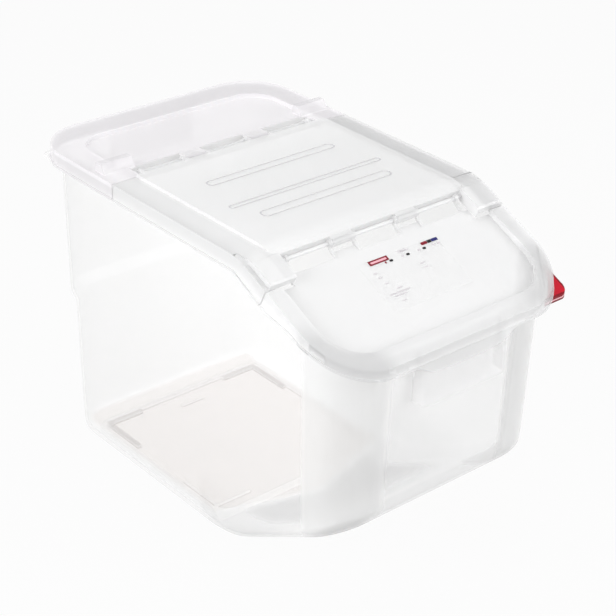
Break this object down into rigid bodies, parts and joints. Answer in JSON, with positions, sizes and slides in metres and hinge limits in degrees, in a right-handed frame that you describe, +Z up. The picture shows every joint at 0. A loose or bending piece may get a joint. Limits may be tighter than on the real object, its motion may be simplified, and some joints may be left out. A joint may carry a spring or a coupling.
{
  "type": "rice bin",
  "caption": "Free-standing translucent plastic ingredient bin with slanted lower front, a fixed rear lid panel, a folding middle panel and a front flap.",
  "frame": {"origin": "centre of the footprint, on the surface that the bin stands on", "axes": "X across the bin, -Y the front with the flap and the slanted lower wall, +Y the rear, +Z up"},
  "size_m": [0.369, 0.606, 0.429],
  "materials": {
    "tub_plastic": "translucent milky polypropylene, satin outside",
    "lid_plastic": "translucent milky polypropylene, smooth",
    "rod_plastic": "translucent milky polypropylene rod",
    "clip_plastic": "moulded red plastic",
    "label_film": null
  },
  "bodies": {
    "root": {"bin_body": "tub_plastic", "rear_lid": "lid_plastic", "rear_hinge_rod": "rod_plastic", "colour_clip": "clip_plastic"},
    "middle": {"middle_lid": "lid_plastic", "front_hinge_rod": "rod_plastic"},
    "flap": {"front_flap": "lid_plastic", "label": "label_film"}
  },
  "joints": [
    {"name": "rear_hinge", "type": "hinge", "parent": "root", "child": "middle", "pos_m": [0, 0.136, 0.412], "axis": [-1, 0, 0], "range_deg": [0, 105]},
    {"name": "front_hinge", "type": "hinge", "parent": "middle", "child": "flap", "pos_m": [0, -0.1398, 0.4065], "axis": [-1, 0, 0], "range_deg": [0, 150]}
  ]
}
